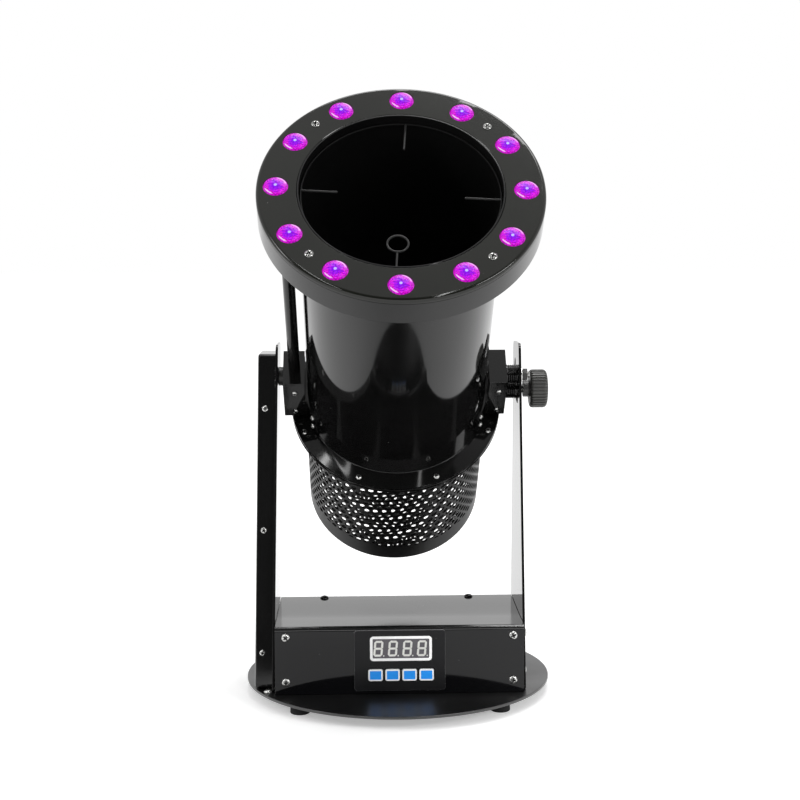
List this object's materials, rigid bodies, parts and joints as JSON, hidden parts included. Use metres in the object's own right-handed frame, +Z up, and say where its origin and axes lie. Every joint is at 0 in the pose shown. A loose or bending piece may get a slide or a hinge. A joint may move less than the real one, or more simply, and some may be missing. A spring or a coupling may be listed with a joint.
{
  "type": "confetti blower",
  "caption": "Stage confetti blower: a fan-driven barrel with a ring of lamps at its mouth, tilting between two arms on a round base with a control box.",
  "frame": {"origin": "centre of the underside of the base disc, above the floor by the height of the feet", "axes": "+Z up; -Y is the front, the side with the display and the way the barrel leans; +X is to the right seen from the front, the side of the lock knob"},
  "size_m": [0.275, 0.4455, 0.5274],
  "materials": {
    "gloss_black_metal": "gloss",
    "satin_black_metal": "satin",
    "bright_steel": "polished",
    "black_rubber": "matte",
    "black_plastic": "satin",
    "smoked_window": "gloss",
    "blue_button": "satin",
    "circuit_board": "satin",
    "bare_aluminium": "satin",
    "violet_lens": "gloss"
  },
  "bodies": {
    "base": {"base_disc": "gloss_black_metal", "rubber_foot_1": "black_rubber", "rubber_foot_2": "black_rubber", "rubber_foot_3": "black_rubber", "rubber_foot_4": "black_rubber", "control_box_cover": "gloss_black_metal", "front_panel": "gloss_black_metal", "display_bezel": "black_plastic", "display_window": "smoked_window", "display_board": "circuit_board", "digit_display": "black_plastic", "power_supply": "bare_aluminium", "driver_board": "circuit_board", "mains_inlet": "black_plastic", "data_socket_in": "bright_steel", "data_socket_out": "bright_steel", "right_arm": "gloss_black_metal", "left_arm": "gloss_black_metal", "left_arm_duct": "gloss_black_metal", "arm_lead": "black_rubber"},
    "barrel": {"barrel_tube": "gloss_black_metal", "right_pivot_block": "gloss_black_metal", "left_pivot_block": "gloss_black_metal", "lamp_conduit": "gloss_black_metal", "left_pivot_bush": "satin_black_metal", "pivot_spacer": "satin_black_metal", "pivot_nut": "satin_black_metal", "lock_spacer": "satin_black_metal", "lamp_ring_housing": "satin_black_metal", "lamp_ring_face": "satin_black_metal", "confetti_screen": "satin_black_metal", "motor_spider": "satin_black_metal", "air_cage": "satin_black_metal", "cage_end_plate": "satin_black_metal", "pivot_bolt": "bright_steel", "pivot_washer": "bright_steel", "bush_lock_ring": "bright_steel", "lock_stud": "bright_steel", "mouth_guard": "bright_steel", "lamp_board": "circuit_board", "fan_motor": "bare_aluminium", "lamp_lens_1": "violet_lens", "lamp_lens_2": "violet_lens", "lamp_lens_3": "violet_lens", "lamp_lens_4": "violet_lens", "lamp_lens_5": "violet_lens", "lamp_lens_6": "violet_lens", "lamp_lens_7": "violet_lens", "lamp_lens_8": "violet_lens", "lamp_lens_9": "violet_lens", "lamp_lens_10": "violet_lens", "lamp_lens_11": "violet_lens", "lamp_lens_12": "violet_lens"},
    "lock_knob": {"lock_knob": "black_plastic"},
    "fan": {"fan_shaft": "bright_steel", "fan_impeller": "black_plastic"},
    "button_1": {"button_1": "blue_button"},
    "button_2": {"button_2": "blue_button"},
    "button_3": {"button_3": "blue_button"},
    "button_4": {"button_4": "blue_button"}
  },
  "joints": [
    {"name": "barrel_tilt", "type": "hinge", "parent": "base", "child": "barrel", "pos_m": [0, -0.006, 0.2755], "axis": [1, 0, 0], "range_deg": [-48.4, 65]},
    {"name": "lock_knob_turn", "type": "hinge", "parent": "barrel", "child": "lock_knob", "pos_m": [0.126, 0.01008, 0.26123], "axis": [1, 0, 0], "continuous": true},
    {"name": "fan_spin", "type": "hinge", "parent": "barrel", "child": "fan", "pos_m": [0, -0.006, 0.2755], "axis": [0, -0.7478, 0.6639], "continuous": true},
    {"name": "button_1_press", "type": "slide", "parent": "base", "child": "button_1", "axis": [0, 1, 0], "range_m": [0, 0.0005], "stiffness_N_per_m": 600, "springref_m": -0.0005},
    {"name": "button_2_press", "type": "slide", "parent": "base", "child": "button_2", "axis": [0, 1, 0], "range_m": [0, 0.0005], "stiffness_N_per_m": 600, "springref_m": -0.0005},
    {"name": "button_3_press", "type": "slide", "parent": "base", "child": "button_3", "axis": [0, 1, 0], "range_m": [0, 0.0005], "stiffness_N_per_m": 600, "springref_m": -0.0005},
    {"name": "button_4_press", "type": "slide", "parent": "base", "child": "button_4", "axis": [0, 1, 0], "range_m": [0, 0.0005], "stiffness_N_per_m": 600, "springref_m": -0.0005}
  ]
}
